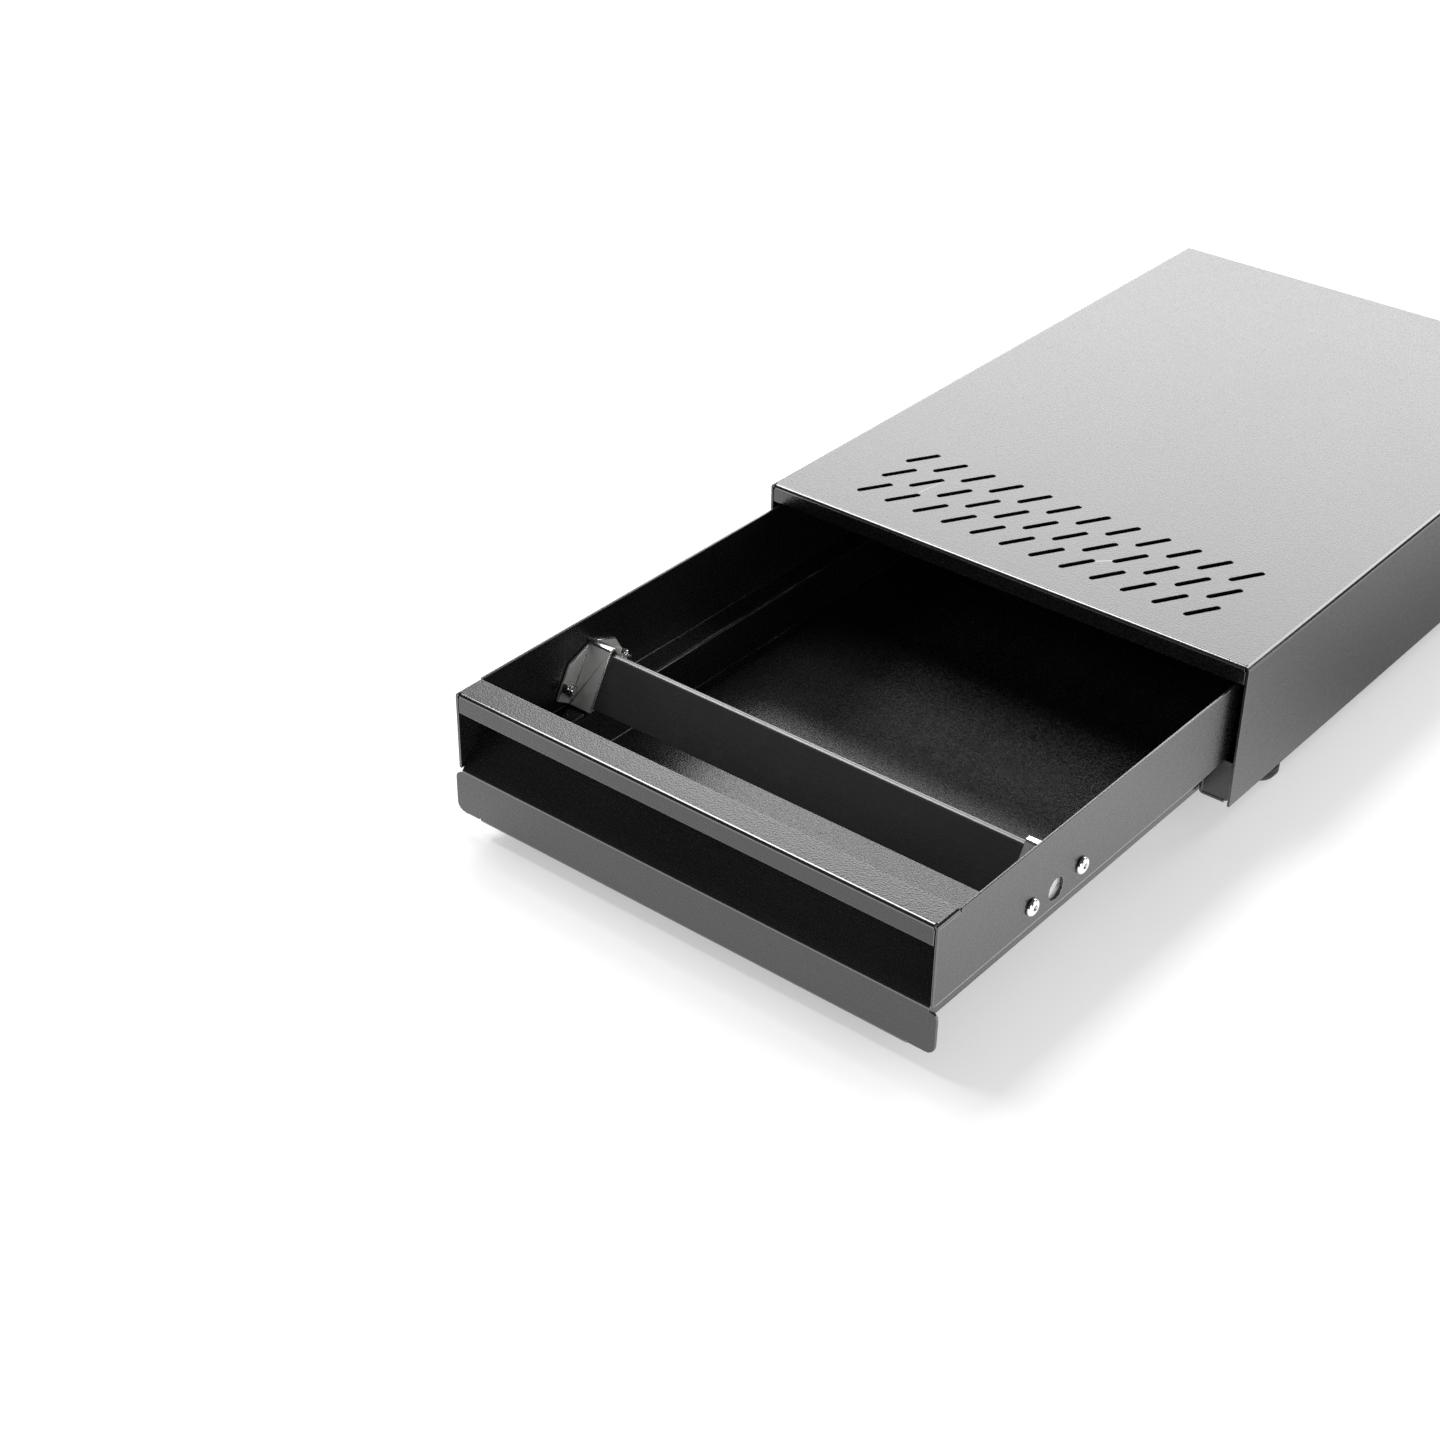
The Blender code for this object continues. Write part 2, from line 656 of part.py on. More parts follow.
def drawer_body():
    """Side walls, ledges and tub from one sheet, and the flange and lip that tie the walls at the front."""
    bm = bmesh.new()
    root = -(DRAWER_BEND + RELIEF)
    lip_half = DRAWER_HALF - DRAWER_BEND - SLIT
    under = fillet(
        [
            (-DRAWER_HALF, root, 0),
            (-DRAWER_HALF, -SIDE_HEIGHT, DRAWER_BEND),
            (-TUB_HALF, -SIDE_HEIGHT, INNER_BEND),
            (-TUB_HALF, -TUB_HEIGHT, DRAWER_BEND),
            (TUB_HALF, -TUB_HEIGHT, DRAWER_BEND),
            (TUB_HALF, -SIDE_HEIGHT, INNER_BEND),
            (DRAWER_HALF, -SIDE_HEIGHT, DRAWER_BEND),
            (DRAWER_HALF, root, 0),
        ]
    )
    over = fillet(
        [
            (DRAWER_HALF, root, 0),
            (DRAWER_HALF, 0, DRAWER_BEND),
            (lip_half, 0, 0),
            (-lip_half, 0, 0),
            (-DRAWER_HALF, 0, DRAWER_BEND),
            (-DRAWER_HALF, root, 0),
        ]
    )
    start = DRAWER_BEND + RELIEF
    edges = draw_path(bm, "Y", under + over[1:-1], start, closed=True)
    above = edges[len(under) - 1 :]
    middle = len(above) // 2
    fronts = edges[: len(under) - 1] + above[: middle - 1] + above[middle + 2 :]
    sweep(bm, fronts, [Vector((0, -start, 0))])
    fold_lip(bm, above[middle], DRAWER_BEND, DRAWER_LIP_HEIGHT, WALL_INNER - SLIT - lip_half)
    ring = sweep(bm, edges, [Vector((0, FLANGE_DEPTH - start, 0))])
    below = [edge for edge in ring if max(vert.co.z for vert in edge.verts) < root + WELD]
    rest = DRAWER_LENGTH - FLANGE_DEPTH - RELIEF
    last = sweep(bm, below, [Vector((0, RELIEF, 0)), Vector((0, rest, 0))])
    for edge in last:
        for corner in edge.verts:
            if corner.co.z > root - WELD:
                (top,) = [link for link in corner.link_edges if link != edge]
                sweep(bm, [top], [Vector((0, 0, -root))])
    body = sheet("drawer_body", bm, SHEET, Vector((0, 0, -1)), PARTS, DRAWER)
    combine(body, "DIFFERENCE", drawer_front_cutter(), *side_hole_cutters())
    return finish(body, POWDER_BLACK)


def drawer_front_cutter():
    """Clears the front of the ledges and the tub for the front panel, its recess and its bottom hem."""
    panel = SHEET + FIT_GAP
    slope = SHEET / math.sin(RECESS_ANGLE) + (LEDGE_TOP - PANEL_TOP) / math.tan(RECESS_ANGLE)
    ledge = max(panel, slope + FIT_GAP / math.sin(RECESS_ANGLE))
    hem = PANEL_HEM + FIT_GAP
    top = LEDGE_TOP + SHEET / 4
    deep = -TUB_HEIGHT - OVERRUN
    outline = [
        Vector(point)
        for point in (
            (-OVERRUN, deep),
            (hem, deep),
            (hem, TUB_FLOOR + FIT_GAP),
            (panel, TUB_FLOOR + FIT_GAP),
            (panel, EAR_TOP),
            (ledge, EAR_TOP),
            (ledge, top),
            (-OVERRUN, top),
        )
    ]
    wide = DRAWER_HALF + OVERRUN
    return plate("drawer_front_cutter", "X", [outline], -wide, wide, CUTTERS, DRAWER)


def side_hole_cutters():
    """The finger-sized hole and the two screw holes in each side wall, cut straight across.

    Half a step of spin keeps their corners off the diagonals that the Booleans cut the walls along.
    """
    wide = DRAWER_HALF + OVERRUN
    spin = math.pi / HOLE_STEPS
    holes = [("side_hole", BAR_CENTRE, SIDE_HOLE_HEIGHT, SIDE_HOLE_RADIUS)]
    for end, y in BRACKET_SCREW_PLACES:
        holes.append((f"screw_hole_{end}", y, BRACKET_SCREW_HEIGHT, SCREW_HOLE))
    return [
        rod(f"{name}_cutter", "X", y, z, radius, -wide, wide, DRAWER, spin=spin)
        for name, y, z, radius in holes
    ]


def front_panel():
    """Lower front panel: a hem below, two ears in front of the rails, and the sloped finger recess above."""
    rise = RECESS_REACH * math.tan(RECESS_ANGLE)
    section = fillet(
        [
            (PANEL_HEM, -TUB_HEIGHT, 0),
            (0, -TUB_HEIGHT, PANEL_BEND),
            (0, PANEL_TOP, PANEL_BEND),
            (RECESS_REACH, PANEL_TOP + rise, 0),
        ]
    )
    ear = DRAWER_HALF + EAR_REACH
    wide = ear + OVERRUN
    panel = strip("front_panel", "X", section, -wide, wide, SHEET, Vector((0, -1, 0)), PARTS, DRAWER)
    hem = TUB_HALF + PANEL_HEM_OVERLAP
    notch = hem + PANEL_NOTCH
    ear_bottom = EAR_LIFT - TUB_HEIGHT
    half = [
        (hem, -TUB_HEIGHT - OVERRUN, 0),
        (hem, ear_bottom + PANEL_NOTCH, 0),
        (notch, ear_bottom + PANEL_NOTCH, 0),
        (notch, ear_bottom, 0),
        (ear, ear_bottom, EAR_BOTTOM_RADIUS),
        (ear, EAR_TOP, EAR_TOP_RADIUS),
        (RECESS_HALF, EAR_TOP, 0),
        (RECESS_HALF, PANEL_TOP + rise + OVERRUN, 0),
    ]
    other = [(-u, v, radius) for u, v, radius in reversed(half)]
    outline = fillet(half + other, closed=True)
    reach = RECESS_REACH + OVERRUN
    silhouette = plate("front_panel_outline", "Y", [outline], -OVERRUN, reach, CUTTERS, DRAWER)
    combine(panel, "INTERSECT", silhouette)
    return finish(panel, POWDER_BLACK)


def drawer_back():
    """Rear wall, stepped like the body, with side flanges and a tab that meets the travel stop."""
    half = WALL_INNER - FIT_GAP
    rear = DRAWER_LENGTH - FIT_GAP
    front = rear - DRAWER_BACK_FLANGE
    section = fillet(
        [(-half, front, 0), (-half, rear, DRAWER_BEND), (half, rear, DRAWER_BEND), (half, front, 0)]
    )
    low = TUB_FLOOR - OVERRUN
    high = STOP_TAB_HEIGHT + OVERRUN
    wall = strip("drawer_back", "Z", section, low, high, SHEET, Vector((0, 1, 0)), PARTS, DRAWER)
    tub = TUB_INNER - FIT_GAP
    step = LEDGE_TOP + FIT_GAP
    tab = STOP_TAB_WIDTH / 2
    right = [
        (tub, TUB_FLOOR + FIT_GAP, BACK_CORNER),
        (tub, step, 0),
        (half + OVERRUN, step, 0),
        (half + OVERRUN, 0, 0),
        (tab, 0, 0),
        (tab, STOP_TAB_HEIGHT, BACK_CORNER),
    ]
    left = [(-u, v, radius) for u, v, radius in reversed(right)]
    outline = fillet(right + left, closed=True)
    low, high = front - OVERRUN, rear + OVERRUN
    silhouette = plate("drawer_back_outline", "Y", [outline], low, high, CUTTERS, DRAWER)
    combine(wall, "INTERSECT", silhouette)
    return finish(wall, POWDER_BLACK)


def vee(apex, radius, bottom):
    """The points of an inverted V about the bar's middle, whose sides would meet at apex were it sharp."""
    spread = (apex - bottom) * math.tan(V_HALF_ANGLE)
    return fillet([(-spread, bottom, 0), (0, apex, radius), (spread, bottom, 0)])


def sharp(top, radius):
    """The height at which the sides of a V with this rounded top would meet."""
    return top - radius + radius / math.sin(V_HALF_ANGLE)


def inset(apex, distance):
    """The apex of a V that lies this far inside one with the given apex."""
    return apex - distance / math.sin(V_HALF_ANGLE)


def bar_sleeve():
    """Rubber sleeve over the bar, with two lips that hook under the core."""
    lip_top = BAR_BOTTOM + SLEEVE_LIP_HEIGHT
    spread = (SLEEVE_INNER_APEX - BAR_BOTTOM) * math.tan(V_HALF_ANGLE) - SLEEVE_LIP_REACH
    inner = vee(SLEEVE_INNER_APEX, CORE_RADIUS + FIT_GAP, lip_top)
    lip = [Vector((spread, BAR_BOTTOM)), Vector((spread, lip_top))]
    other_lip = [Vector((-spread, lip_top)), Vector((-spread, BAR_BOTTOM))]
    outline = vee(BAR_APEX, BAR_RADIUS, BAR_BOTTOM) + lip + inner[::-1] + other_lip
    sleeve = plate("bar_sleeve", "X", [outline], -BAR_HALF, BAR_HALF, PARTS, DRAWER)
    sleeve.location.y += BAR_CENTRE
    smooth(sleeve.data)
    return finish(sleeve, BLACK_RUBBER)


def bar_core():
    """Folded steel channel that stiffens the bar, inside the sleeve."""
    apex = inset(SLEEVE_INNER_APEX, FIT_GAP)
    bottom = BAR_BOTTOM + SLEEVE_LIP_HEIGHT + FIT_GAP + CORE_SHEET * math.sin(V_HALF_ANGLE)
    section = vee(apex, CORE_RADIUS, bottom)
    core = strip(
        "bar_core", "X", section, -BAR_HALF, BAR_HALF, CORE_SHEET, Vector((0, 0, 1)), PARTS, DRAWER
    )
    core.location.y = BAR_CENTRE
    return finish(core, GALVANISED)


def bracket_mesh():
    """A saddle: a wall plate with two ears, a hood over the bar's end and a seat under it.

    The plate's wall side lies on the origin's plane and the hood reaches towards -X.
    """
    slope, lean = math.tan(V_HALF_ANGLE), math.sin(V_HALF_ANGLE)
    width = math.cos(V_HALF_ANGLE)
    end = LEDGE_TOP + FIT_GAP + SHEET * lean
    foot = end + FIT_GAP
    leg = (HOOD_APEX - foot) * slope
    centre = HOOD_TOP - HOOD_RADIUS
    middle = HOOD_RADIUS - HALF_SHEET
    shoulder = middle * math.sin(BRACKET_CHAMFER_ANGLE)
    right = [
        (leg - HALF_SHEET * width, foot - HALF_SHEET * lean),
        (leg + EAR_WIDTH * width, foot + EAR_WIDTH * lean),
        ((HOOD_APEX - BRACKET_EAR_TOP) * slope + EAR_WIDTH / width, BRACKET_EAR_TOP),
        (shoulder, centre + middle * math.cos(BRACKET_CHAMFER_ANGLE)),
    ]
    left = [(-u, v) for u, v in reversed(right)]
    outline = [Vector(point) for point in right + left]
    holes = [
        circle(side * BRACKET_SCREW_SPACING / 2, BRACKET_SCREW_HEIGHT, SCREW_HOLE) for side in (-1, 1)
    ]
    guide = plate("bracket_guide", "X", [outline, *holes], -SHEET, 0, CUTTERS, None)
    section = vee(HOOD_APEX, HOOD_RADIUS, end)
    outside = Vector((0, 0, 1))
    hood = strip("hood_guide", "X", section, -HOOD_REACH, -HALF_SHEET, SHEET, outside, CUTTERS, None)
    seat_top = BAR_BOTTOM - FIT_GAP
    seat_low = seat_top - SHEET
    half = (HOOD_APEX - seat_low - HALF_SHEET) * slope - HALF_SHEET / width
    front = FIT_GAP - HOOD_REACH
    seat = box("seat_guide", (front, -half, seat_low), (-HALF_SHEET, half, seat_top), CUTTERS, None)
    combine(guide, "UNION", hood, seat)
    mesh = evaluated_mesh(guide)
    mesh.transform(guide.matrix_local)
    smooth(mesh)
    return mesh


def brackets():
    """The two brackets, their screws through the side walls and their nuts on the ears."""
    mesh = bracket_mesh()
    stack = FIT_GAP + SHEET + FIT_GAP + SHEET + FIT_GAP
    screw = screw_mesh("bracket_screw", stack + NUT_HEIGHT + SCREW_TAIL)
    nut = nut_mesh("bracket_nut")
    for side, word in ((-1, "left"), (1, "right")):
        turn = (0, 0, 0 if side > 0 else math.pi)
        place = (side * (WALL_INNER - FIT_GAP), BAR_CENTRE, 0)
        finish(keep(f"bracket_{word}", mesh.copy(), PARTS, DRAWER, place, turn), SATIN_STEEL)
        for end, y in BRACKET_SCREW_PLACES:
            place = (side * (DRAWER_HALF + FIT_GAP), y, BRACKET_SCREW_HEIGHT)
            turn = (0, side * QUARTER, 0)
            bolt = keep(f"bracket_screw_{end}_{word}", screw.copy(), PARTS, DRAWER, place, turn)
            finish(bolt, SCREW_STEEL)
            place = (side * (DRAWER_HALF - stack + FIT_GAP), y, BRACKET_SCREW_HEIGHT)
            turn = (0, -side * QUARTER, 0)
            finish(keep(f"bracket_nut_{end}_{word}", nut.copy(), PARTS, DRAWER, place, turn), SCREW_STEEL)


clear_scene()
PARTS = new_collection("coffee_knock_drawer")
CUTTERS = new_collection("cutters", hidden=True)

CASE = keep("case_frame", None, PARTS, None, (0, ROW_SHIFT, FOOT_HEIGHT))
DRAWER = keep("drawer_frame", None, PARTS, CASE, (0, -REST_OPENING, RIM_HEIGHT))

FOOT_PLACES = (("front", FOOT_FRONT), ("rear", CASE_DEPTH - FOOT_FRONT))
BRACKET_SCREW_PLACES = (
    ("front", BAR_CENTRE - BRACKET_SCREW_SPACING / 2),
    ("rear", BAR_CENTRE + BRACKET_SCREW_SPACING / 2),
)
HOOD_APEX = sharp(HOOD_TOP, HOOD_RADIUS)
BAR_APEX = inset(HOOD_APEX, SHEET + BAR_GAP)
SLEEVE_INNER_APEX = inset(BAR_APEX, SLEEVE_THICKNESS)
BAR_BOTTOM = LEDGE_TOP + BAR_LIFT
BAR_HALF = WALL_INNER - FIT_GAP - SHEET - FIT_GAP

case_shell()
back_panel()
rail(-1, "left")
rail(1, "right")
travel_stop()
back_bumpers()
feet()
back_screws()
drawer_body()
front_panel()
drawer_back()
bar_sleeve()
bar_core()
brackets()
bpy.context.view_layer.update()
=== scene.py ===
"""The dressed coffee knock drawer: its finishes and fine shapes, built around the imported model."""

import json
import math

import bmesh
import bpy
from mathutils import Matrix, Vector

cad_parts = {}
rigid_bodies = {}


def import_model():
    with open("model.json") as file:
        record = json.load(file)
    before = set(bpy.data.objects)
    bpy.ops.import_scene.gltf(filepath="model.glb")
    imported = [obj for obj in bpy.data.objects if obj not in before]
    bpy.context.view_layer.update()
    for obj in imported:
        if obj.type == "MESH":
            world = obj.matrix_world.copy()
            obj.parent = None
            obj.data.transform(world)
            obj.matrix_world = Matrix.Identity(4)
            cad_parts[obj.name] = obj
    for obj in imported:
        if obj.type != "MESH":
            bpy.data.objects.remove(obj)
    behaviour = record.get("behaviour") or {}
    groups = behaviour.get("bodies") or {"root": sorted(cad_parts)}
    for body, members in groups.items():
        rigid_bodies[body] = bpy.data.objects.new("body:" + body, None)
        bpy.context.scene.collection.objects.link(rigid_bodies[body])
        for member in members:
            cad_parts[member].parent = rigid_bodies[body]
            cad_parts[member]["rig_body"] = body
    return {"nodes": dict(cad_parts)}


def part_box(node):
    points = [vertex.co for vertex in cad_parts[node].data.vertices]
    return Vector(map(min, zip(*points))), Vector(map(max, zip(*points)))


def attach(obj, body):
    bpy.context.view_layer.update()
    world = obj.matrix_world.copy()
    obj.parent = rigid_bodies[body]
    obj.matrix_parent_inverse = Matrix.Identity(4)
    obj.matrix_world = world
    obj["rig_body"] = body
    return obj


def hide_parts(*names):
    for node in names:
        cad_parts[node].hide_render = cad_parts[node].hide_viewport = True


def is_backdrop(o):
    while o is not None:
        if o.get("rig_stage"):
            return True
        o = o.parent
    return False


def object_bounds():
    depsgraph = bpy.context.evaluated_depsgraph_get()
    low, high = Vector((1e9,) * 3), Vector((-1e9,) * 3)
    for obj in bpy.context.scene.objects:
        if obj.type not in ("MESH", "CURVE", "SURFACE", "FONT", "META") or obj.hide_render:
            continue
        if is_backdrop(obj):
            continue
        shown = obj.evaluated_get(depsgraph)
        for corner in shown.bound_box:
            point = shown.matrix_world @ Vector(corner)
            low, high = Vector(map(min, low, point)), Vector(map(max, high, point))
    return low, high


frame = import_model()
cad_box = [list(corner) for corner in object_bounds()]

# The view: a long lens, to the right of the drawer and above it. Its place, its aim and the lens come
# from a camera fitted to the straight edges in the photograph.
CAMERA_PLACE = (0.59721, -1.05980, 0.72977)
CAMERA_AIM = (-0.528126, 0.650171, -0.546223)
CAMERA_ROLL = math.radians(0.723)
CAMERA_LENS = 61.66
CAMERA_SENSOR = 36.0
CAMERA_NEAREST = 0.01

camera = bpy.data.objects.new("camera", bpy.data.cameras.new("camera"))
bpy.context.scene.collection.objects.link(camera)
camera.data.sensor_width = CAMERA_SENSOR
camera.data.lens = CAMERA_LENS
camera.data.clip_start = CAMERA_NEAREST
aim = Vector(CAMERA_AIM).to_track_quat("-Z", "Y").to_matrix().to_4x4()
camera.matrix_world = Matrix.Translation(CAMERA_PLACE) @ aim @ Matrix.Rotation(CAMERA_ROLL, 4, "Z")
bpy.context.scene.camera = camera
bpy.context.scene.view_settings.view_transform = "Standard"

# The studio: a large soft light low behind the case, which the flat tops mirror, one above on the left
# that draws the bright lines along the bends, and two small ones on the right. All are plain white.
# Each has its name, its place and its width and height in metres, and its power in watts.
LAMPS = (
    ("light_behind", (-0.50, 1.95, 1.18), (2.8, 1.4), 50.0),
    ("light_above", (-0.95, -0.05, 1.80), (1.2, 0.8), 28.0),
    ("light_right", (1.45, 0.75, 0.55), (1.2, 0.8), 6.0),
    ("light_front", (1.25, -0.80, 0.40), (0.6, 0.5), 4.5),
)
LAMP_TARGET = Vector((0, -0.05, 0.05))

for name, place, size, power in LAMPS:
    lamp = bpy.data.lights.new(name, "AREA")
    lamp.shape = "RECTANGLE"
    lamp.size, lamp.size_y = size
    lamp.energy = power
    holder = bpy.data.objects.new(name, lamp)
    bpy.context.scene.collection.objects.link(holder)
    turn = (LAMP_TARGET - Vector(place)).to_track_quat("-Z", "Y").to_matrix().to_4x4()
    holder.matrix_world = Matrix.Translation(place) @ turn
    holder.visible_camera = False

# The table top and the backdrop behind it are plain white, and the room in front is dim. The table
# shows at full white where it is lit, and the object's soft shadow stays on it. The case's sides and
# the drawer's front mirror it darker than the drawer's side does, as in the photograph.
TABLE_SIZE = 30.0
TABLE_COLOUR = (0.84, 0.84, 0.84, 1)
TABLE_GLOW = 0.42
# Painted shade in reflections: as glossy rays see it, the table's glow is painted darker towards the
# back, past BACK_EDGE (by BACK_SHADE), and towards the front, past FRONT_EDGE (by FRONT_SHADE).
BACK_EDGE = (-0.12, 0.10)
BACK_SHADE = 0.8
FRONT_EDGE = (0.36, 0.43)
FRONT_SHADE = 0.25
CLEAR_EDGE = (0.6, 2.5)
ROOM_LIGHT = 0.15
ROOM_GLOSS = 0.08
BACKDROP_LEAN = 0.9
BACKDROP_EDGE = (0.85, 1.05)
WHITE = (1, 1, 1, 1)


class Wire:
    """The output of a shader node. Arithmetic on it adds the Math nodes that work the value out."""

    def __init__(self, board, socket):
        self.board = board
        self.socket = socket

    def __add__(self, other):
        return self.board.math("ADD", self, other)

    def __sub__(self, other):
        return self.board.math("SUBTRACT", self, other)

    def __rsub__(self, other):
        return self.board.math("SUBTRACT", other, self)

    def __mul__(self, other):
        return self.board.math("MULTIPLY", self, other)

    __radd__ = __add__
    __rmul__ = __mul__


class Board:
    """A node tree that a finish is drawn on."""

    def __init__(self, tree):
        self.tree = tree
        tree.nodes.clear()

    def node(self, kind, settings, sockets, output=0):
        """Adds a node: its settings first, then the values or wires of its sockets."""
        made = self.tree.nodes.new(kind)
        for key, value in settings.items():
            setattr(made, key, value)
        for key, value in sockets.items():
            if isinstance(value, Wire):
                self.tree.links.new(value.socket, made.inputs[key])
            else:
                made.inputs[key].default_value = value
        return Wire(self, made.outputs[output]) if made.outputs else None

    def math(self, operation, *values):
        return self.node("ShaderNodeMath", {"operation": operation}, dict(enumerate(values)))

    def step(self, value, low, high):
        """0 below low, 1 above high and a smooth rise between."""
        settings = {"interpolation_type": "SMOOTHSTEP"}
        return self.node("ShaderNodeMapRange", settings, {0: value, 1: low, 2: high})

    def mix(self, factor, first, second):
        """A colour between two colours."""
        settings = {"data_type": "RGBA", "clamp_factor": True}
        return self.node("ShaderNodeMix", settings, {0: factor, 6: first, 7: second}, 2)

    def place(self, stretch=(1, 1, 1)):
        """The point on the piece, in metres, with each direction scaled."""
        point = self.node("ShaderNodeTexCoord", {}, {}, "Object")
        if stretch == (1, 1, 1):
            return point
        return self.node("ShaderNodeVectorMath", {"operation": "MULTIPLY"}, {0: point, 1: stretch})

    def noise(self, size, detail=2.0, stretch=(1, 1, 1), roughness=0.5):
        """A cloudy pattern whose blots are about size metres across."""
        sockets = {"Vector": self.place(stretch), "Scale": 1 / size}
        sockets.update({"Detail": detail, "Roughness": roughness})
        return self.node("ShaderNodeTexNoise", {}, sockets)

    def ray(self, kind):
        """1 for the rays of one kind, such as Camera, and 0 for all others."""
        return self.node("ShaderNodeLightPath", {}, {}, f"Is {kind} Ray")


def bare(name):
    """A new material, empty, and the board that its nodes go on."""
    material = bpy.data.materials.new(name)
    material.use_nodes = True
    return material, Board(material.node_tree)


world = bpy.data.worlds.new("backdrop")
bpy.context.scene.world = world
world.use_nodes = True
board = Board(world.node_tree)
toward = board.node("ShaderNodeTexCoord", {}, {}, "Generated")
rightward = board.node("ShaderNodeSeparateXYZ", {}, {0: toward}, "X")
backward = board.node("ShaderNodeSeparateXYZ", {}, {0: toward}, "Y")
behind = board.step(backward - rightward * BACKDROP_LEAN, *BACKDROP_EDGE)
shown = board.ray("Glossy") * (ROOM_GLOSS + behind * (1 - ROOM_GLOSS) - ROOM_LIGHT)
shown = shown + (board.ray("Camera") + board.ray("Transmission")) * (1 - ROOM_LIGHT)
backdrop = board.node("ShaderNodeBackground", {}, {"Color": WHITE, "Strength": ROOM_LIGHT + shown})
board.node("ShaderNodeOutputWorld", {}, {"Surface": backdrop})

bm = bmesh.new()
bmesh.ops.create_grid(bm, x_segments=1, y_segments=1, size=TABLE_SIZE / 2)
table = bpy.data.objects.new("table", bpy.data.meshes.new("table"))
bm.to_mesh(table.data)
bm.free()
bpy.context.scene.collection.objects.link(table)
table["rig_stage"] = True
table_white, board = bare("table_white")
lit = board.node("ShaderNodeBsdfDiffuse", {}, {"Color": TABLE_COLOUR})
away = board.node("ShaderNodeVectorMath", {"operation": "LENGTH"}, {0: board.place()}, "Value")
clear = TABLE_GLOW + board.step(away, *CLEAR_EDGE) * (1 - TABLE_GLOW)
back = board.node("ShaderNodeSeparateXYZ", {}, {0: board.place()}, "Y")
# Painted shade, for reflections only: the glow that glossy rays see is lowered towards the back and
# towards the front.
shade = board.step(back, *BACK_EDGE) * BACK_SHADE
shade = shade + board.step(0 - back, *FRONT_EDGE) * FRONT_SHADE
seen = (board.ray("Camera") + board.ray("Transmission")) * clear + board.ray("Glossy") * (1 - shade)
glow = board.node("ShaderNodeEmission", {}, {"Color": WHITE, "Strength": seen})
surface = board.node("ShaderNodeAddShader", {}, {0: lit, 1: glow})
board.node("ShaderNodeOutputMaterial", {}, {"Surface": surface})
table.data.materials.append(table_white)

# Case: one folded steel sheet, 1.5 mm thick, with a lip along the front of the top and 36 slots.
# It is blanked, deburred and folded, then coated with fine-textured black powder and baked.
EDGE_EASE = 0.00022
EDGE_STEPS = 2
FLAT_ANGLE = math.radians(0.5)
EDGE_ANGLE = math.radians(50)
SMALLEST_EDGE = 0.00019
BEND_STRIP = 0.0012
FLAT_WEIGHT = 100
NOISE_MIDDLE = 0.5

COAT_BLACK = (0.003, 0.003, 0.0032, 1)
COAT_GREY = (0.009, 0.009, 0.0093, 1)
COAT_ROUGHNESS = 0.27
COAT_IOR = 1.62
COAT_GRAIN = 0.0009
COAT_GRAIN_HEIGHT = 0.00022
COAT_GRAIN_ROUGH = 0.55
COAT_BUMP = 0.6
COAT_GRAIN_DEPTH, COAT_PEBBLE_DEPTH = 0.55, 0.6
COAT_PEBBLE_BLUR = 0.7
COAT_CLOUD = 0.060
COAT_RUB = 0.030
COAT_RUB_EDGE = (0.56, 0.74)
COAT_SHADE_EDGE = (0.36, 0.64)
COAT_GRAIN_SHARE, COAT_CLOUD_SHARE = 0.75, 0.25
COAT_GRAIN_GLOSS, COAT_RUB_GLOSS, COAT_CLOUD_GLOSS = 0.20, 0.012, 0.03
EDGE_BLACK = (0.010, 0.010, 0.0104, 1)
EDGE_ROUGHNESS = 0.12
EDGE_IOR = 2.1
EDGE_GRAIN_HEIGHT = 0.00005
SCRATCH_GREY = (0.060, 0.060, 0.062, 1)
STREAK_SIZE = 0.012
STREAK_STRETCH = (40, 1, 40)
STREAK_EDGE = (0.52, 0.70)
STREAK_GLOSS = 0.08


def powder_coat(
    name,
    black=COAT_BLACK,
    grey=COAT_GREY,
    roughness=COAT_ROUGHNESS,
    ior=COAT_IOR,
    pebble=COAT_GRAIN_HEIGHT,
    streaks=0.0,
):
    """Black powder coat: pebbled, a little glossier where it is rubbed, streaked where it slides."""
    material, board = bare(name)
    grain = board.noise(COAT_GRAIN, roughness=COAT_GRAIN_ROUGH)
    pebbles = board.node(
        "ShaderNodeTexVoronoi",
        {"feature": "SMOOTH_F1"},
        {"Vector": board.place(), "Scale": 1 / COAT_GRAIN, "Smoothness": COAT_PEBBLE_BLUR},
    )
    clouds = board.noise(COAT_CLOUD)
    rubbed = board.step(board.noise(COAT_RUB, detail=4.0, roughness=0.65), *COAT_RUB_EDGE)
    height = grain * COAT_GRAIN_DEPTH + pebbles * COAT_PEBBLE_DEPTH
    bump = board.node(
        "ShaderNodeBump", {}, {"Strength": COAT_BUMP, "Distance": pebble, "Height": height}
    )
    shade = board.step(grain * COAT_GRAIN_SHARE + clouds * COAT_CLOUD_SHARE, *COAT_SHADE_EDGE)
    colour = board.mix(shade, black, grey)
    gloss = roughness + (grain - NOISE_MIDDLE) * COAT_GRAIN_GLOSS - rubbed * COAT_RUB_GLOSS
    gloss = gloss + (clouds - NOISE_MIDDLE) * COAT_CLOUD_GLOSS
    if streaks:
        streak = board.step(board.noise(STREAK_SIZE, detail=3.0, stretch=STREAK_STRETCH), *STREAK_EDGE)
        colour = board.mix(streak * streaks, colour, SCRATCH_GREY)
        gloss = gloss - streak * STREAK_GLOSS
    shader = board.node(
        "ShaderNodeBsdfPrincipled",
        {},
        {"Base Color": colour, "Roughness": gloss, "Normal": bump, "IOR": ior},
    )
    board.node("ShaderNodeOutputMaterial", {}, {"Surface": shader})
    return material


